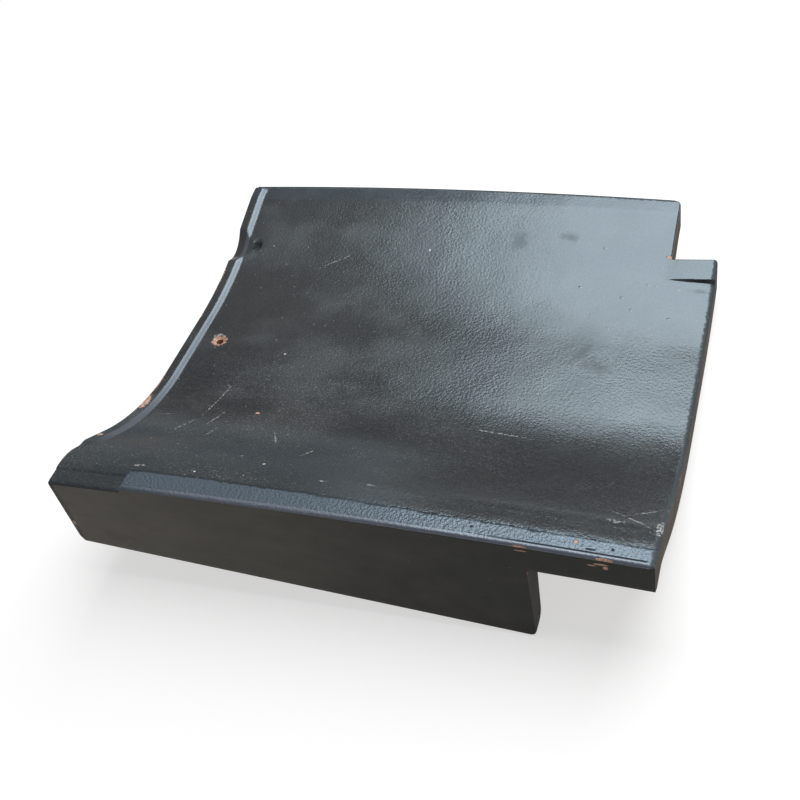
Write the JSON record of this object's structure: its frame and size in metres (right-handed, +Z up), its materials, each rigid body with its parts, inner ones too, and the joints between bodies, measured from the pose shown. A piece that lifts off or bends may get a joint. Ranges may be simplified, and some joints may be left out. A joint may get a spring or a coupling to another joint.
{
  "type": "japanese verge roof tile",
  "caption": "Curved glazed clay roof tile with a hanging verge apron, a tail water stop, a nail hole and a corner notch at the head.",
  "frame": {"origin": "centre of the bounding box, on the floor that the tile lies on", "axes": "+X down the roof from tail to head, +Y in from the verge, +Z up; the tile leans about 4 degrees, as it lies by itself"},
  "size_m": [0.307, 0.2786, 0.0804],
  "materials": {
    "glazed_clay": "black glaze, satin to glossy"
  },
  "bodies": {
    "root": {"verge_tile": "glazed_clay"}
  },
  "joints": []
}
